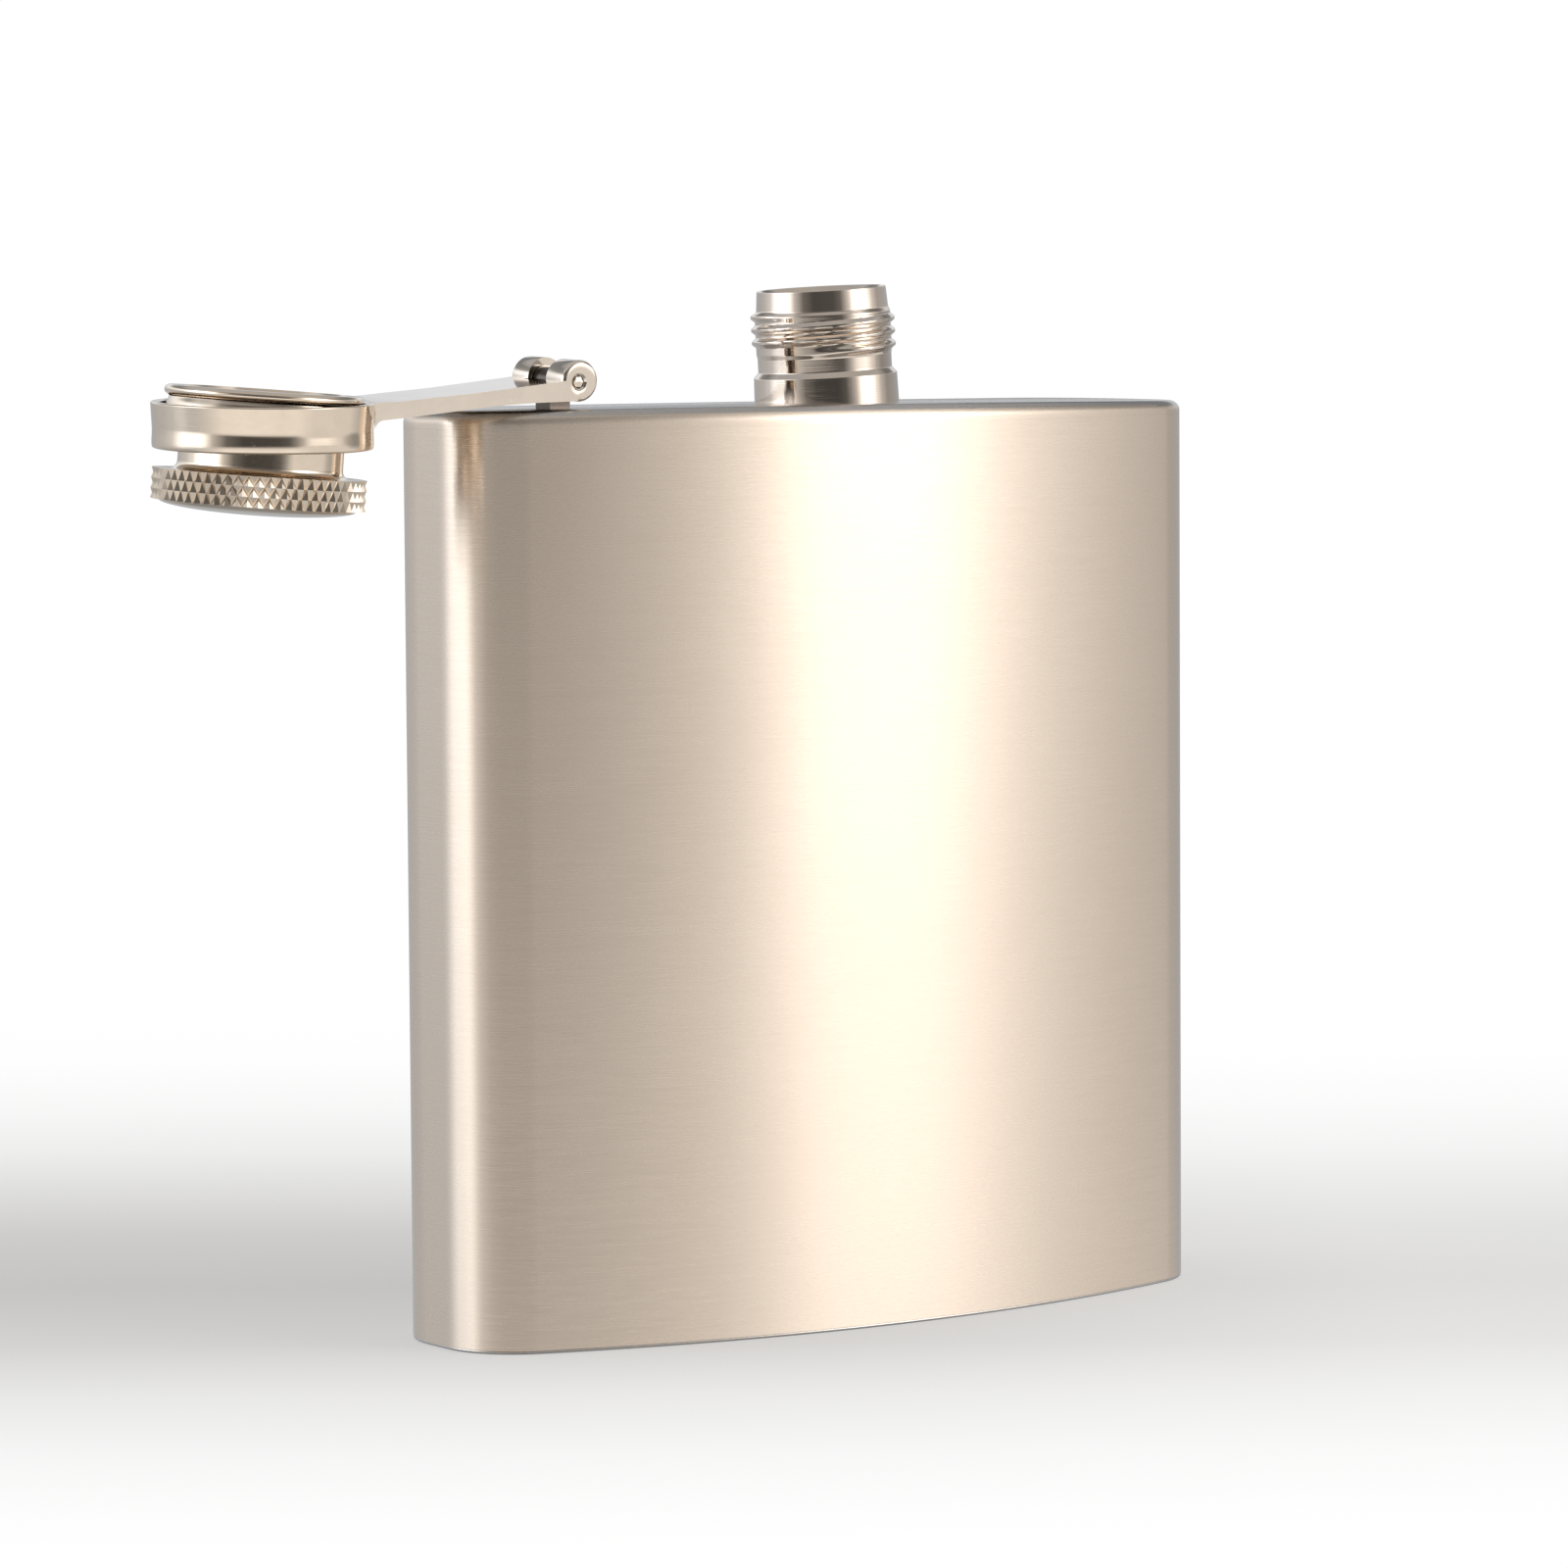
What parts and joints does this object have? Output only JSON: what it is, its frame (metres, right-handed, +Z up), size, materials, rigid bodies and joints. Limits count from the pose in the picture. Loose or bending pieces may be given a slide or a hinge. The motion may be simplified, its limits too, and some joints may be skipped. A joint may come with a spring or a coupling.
{
  "type": "hip flask",
  "caption": "Curved stainless hip flask with a threaded spout and a captive knurled screw cap on a hinged arm, shown open.",
  "frame": {"origin": "centre of the body's flat base, on the surface it stands on", "axes": "+Z up, +X along the width away from the hinge, -Y out of the convex front wall"},
  "size_m": [0.1252, 0.0275, 0.1075],
  "materials": {
    "body_steel": "fine horizontal brushing",
    "polished_steel": "polished, with fine turning lines",
    "silicone": "satin"
  },
  "bodies": {
    "flask": {"body_shell": "body_steel", "top_plate": "body_steel", "bottom_plate": "body_steel", "neck": "polished_steel", "hinge_post": "polished_steel"},
    "arm": {"hinge_arm": "polished_steel", "cap_collar": "polished_steel", "hinge_pin": "polished_steel"},
    "gasket": {"cap_gasket": "silicone"},
    "cap": {"cap_knob": "polished_steel", "cap_flange": "polished_steel"}
  },
  "joints": [
    {"name": "arm_swing", "type": "hinge", "parent": "flask", "child": "arm", "pos_m": [-0.0344, 0.0005, 0.09822], "axis": [0, 0.9994, 0.0349], "range_deg": [0, 175]},
    {"name": "cap_float", "type": "slide", "parent": "arm", "child": "gasket", "axis": [0.0698, -0.0348, 0.997], "range_m": [0, 0.0015]},
    {"name": "cap_spin", "type": "hinge", "parent": "gasket", "child": "cap", "pos_m": [-0.06815, 0.00064, 0.09432], "axis": [0.0698, -0.0348, 0.997], "continuous": true}
  ]
}
